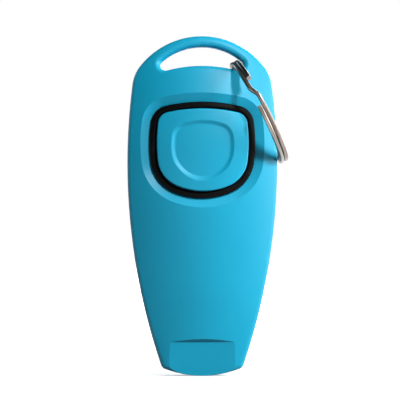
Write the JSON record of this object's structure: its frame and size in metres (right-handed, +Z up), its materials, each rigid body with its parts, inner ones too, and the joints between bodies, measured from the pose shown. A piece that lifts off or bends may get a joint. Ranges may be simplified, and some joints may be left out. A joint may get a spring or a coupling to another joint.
{
  "type": "clicker trainer",
  "caption": "Handheld dog training clicker and whistle with a big push button, lanyard loop and steel split ring.",
  "frame": {"origin": "centre of the lanyard eye, on the parting plane, where the trainer hangs", "axes": "+Z up towards the loop's top, the mouthpiece points down; -Y is the button's side; +X is to the right seen from the button's side, where the ring hangs"},
  "size_m": [0.0398, 0.028, 0.084],
  "materials": {
    "blue_abs": "satin moulded ABS, turquoise blue, fine texture",
    "black_collar": "semi-gloss black moulded plastic",
    "black_internal": "matte black acetal",
    "grey_whistle": "satin dark grey moulded plastic",
    "spring_steel": "rolled spring steel, slightly blued",
    "screw_steel": "zinc-plated screws",
    "ring_steel": "nickel-plated flat steel wire, lightly worn"
  },
  "bodies": {
    "housing": {"front_shell": "blue_abs", "rear_shell": "blue_abs", "button_collar": "black_collar", "tongue_clamp": "black_internal", "mechanism_frame": "black_internal", "tongue_screws": "screw_steel", "frame_screws": "screw_steel", "lower_case_screws": "screw_steel", "upper_case_screws": "screw_steel", "whistle_body": "grey_whistle", "whistle_lid": "grey_whistle", "chamber_plug": "grey_whistle"},
    "button": {"click_button": "blue_abs", "button_plunger": "black_internal"},
    "tongue": {"click_tongue": "spring_steel"},
    "ring": {"split_ring": "ring_steel"}
  },
  "joints": [
    {"name": "button_press", "type": "slide", "parent": "housing", "child": "button", "axis": [0, 1, 0], "range_m": [0, 0.0018], "stiffness_N_per_m": 1500, "springref_m": -0.0006},
    {"name": "tongue_bend", "type": "hinge", "parent": "housing", "child": "tongue", "pos_m": [0, -0.0004, -0.00868], "axis": [1, 0, 0], "range_deg": [0, 7.5]},
    {"name": "ring_swing", "type": "hinge", "parent": "housing", "child": "ring", "pos_m": [0.00812, 0, -0.00181], "axis": [0.0389, -0.999, 0.0198], "range_deg": [0, 150]}
  ],
  "couplings": [
    {"joint": "tongue_bend", "follows": "button_press", "rad_per_m": 68.966}
  ]
}
